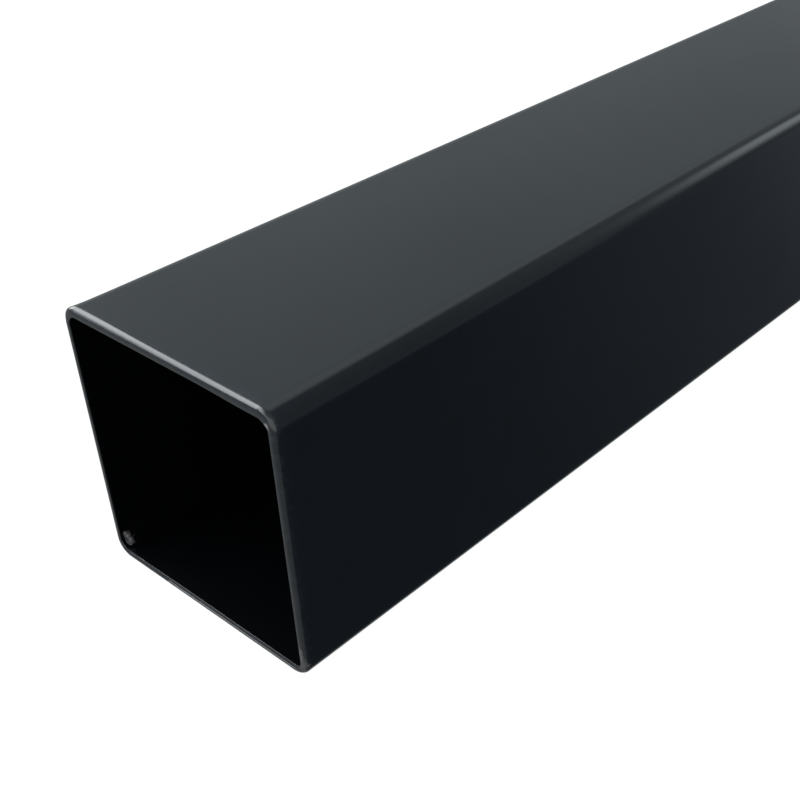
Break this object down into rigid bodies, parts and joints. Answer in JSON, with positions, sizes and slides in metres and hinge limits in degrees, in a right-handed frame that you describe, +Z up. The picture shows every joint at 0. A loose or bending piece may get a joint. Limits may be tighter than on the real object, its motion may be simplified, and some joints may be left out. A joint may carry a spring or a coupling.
{
  "type": "square steel tube",
  "caption": "Square hollow section steel tube with rounded corners and open, deburred ends, black powder coated. Stock for posts, frames and brackets.",
  "frame": {"origin": "under the middle of the tube, on the plane it lies on", "axes": "+Y along the tube, +Z up out of the top wall, +X out of the side wall; the weld bead inside runs along the foot of the -X wall"},
  "size_m": [0.1, 1, 0.1],
  "materials": {
    "black_powder_coat": "satin black powder coat on steel"
  },
  "bodies": {
    "root": {"square_tube": "black_powder_coat"}
  },
  "joints": []
}
